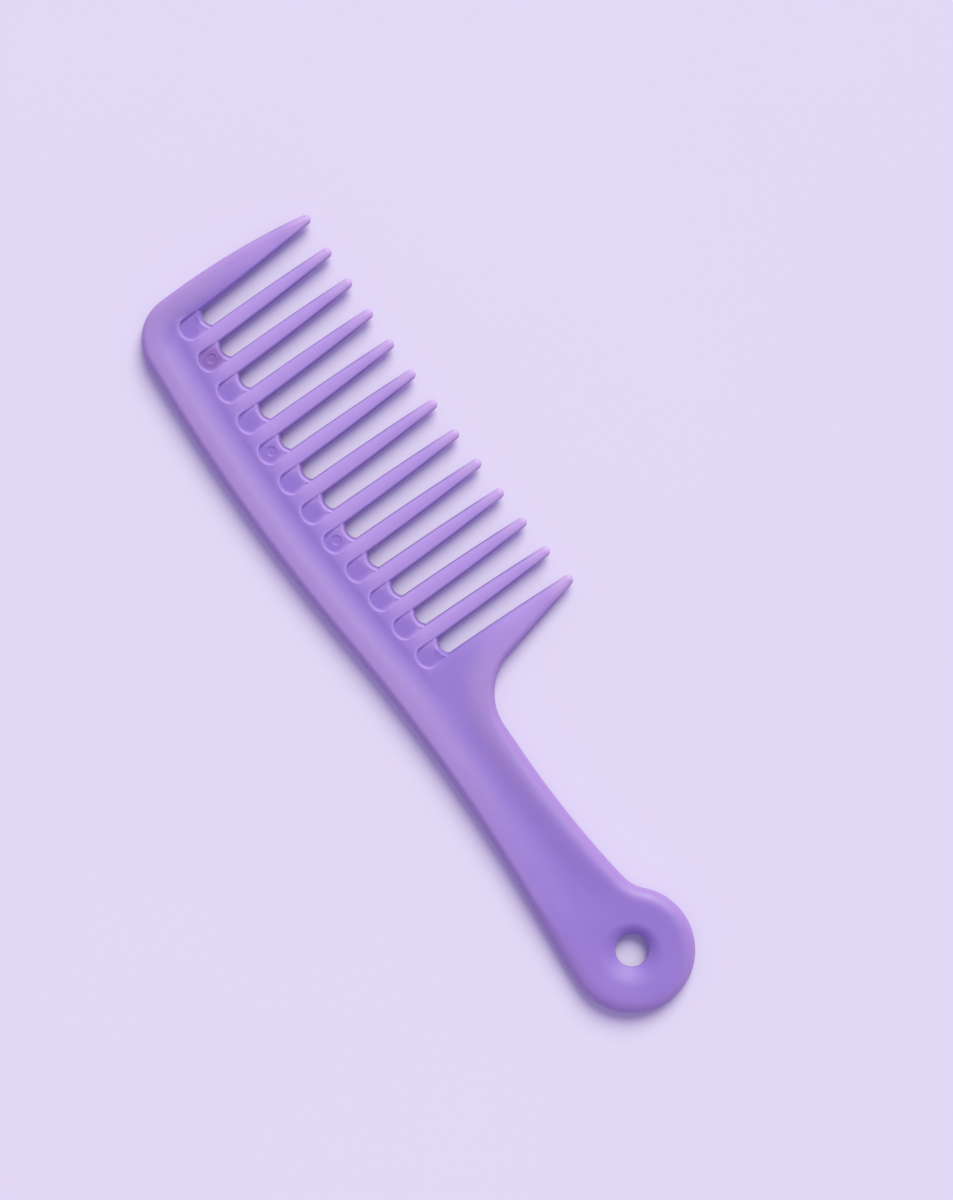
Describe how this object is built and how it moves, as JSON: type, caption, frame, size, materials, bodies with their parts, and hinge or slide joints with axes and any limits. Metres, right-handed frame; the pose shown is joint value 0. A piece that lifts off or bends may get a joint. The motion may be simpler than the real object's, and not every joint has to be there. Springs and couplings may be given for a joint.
{
  "type": "wide tooth comb",
  "caption": "Wide tooth comb with round-tipped tapered teeth, shallow pockets at the gap roots, a waisted handle and a round hanging eye.",
  "frame": {"origin": "centre of the hanging eye, halfway through the thickness", "axes": "+X along the comb out of the handle's end, +Y the way the teeth point, +Z out of the face with the ejector marks"},
  "size_m": [0.24, 0.0647, 0.006],
  "materials": {
    "comb_plastic": "satin moulded lavender plastic with a fine grain"
  },
  "bodies": {
    "root": {"gap_web_01": "comb_plastic", "gap_web_02": "comb_plastic", "gap_web_03": "comb_plastic", "gap_web_04": "comb_plastic", "gap_web_05": "comb_plastic", "gap_web_06": "comb_plastic", "gap_web_07": "comb_plastic", "gap_web_08": "comb_plastic", "gap_web_09": "comb_plastic", "gap_web_10": "comb_plastic", "gap_web_11": "comb_plastic", "gap_web_12": "comb_plastic", "handle": "comb_plastic", "hanging_eye": "comb_plastic", "spine": "comb_plastic", "tooth_01_end": "comb_plastic", "tooth_02": "comb_plastic", "tooth_03": "comb_plastic", "tooth_04": "comb_plastic", "tooth_05": "comb_plastic", "tooth_06": "comb_plastic", "tooth_07": "comb_plastic", "tooth_08": "comb_plastic", "tooth_09": "comb_plastic", "tooth_10": "comb_plastic", "tooth_11": "comb_plastic", "tooth_12": "comb_plastic", "tooth_13_heel": "comb_plastic"}
  },
  "joints": []
}
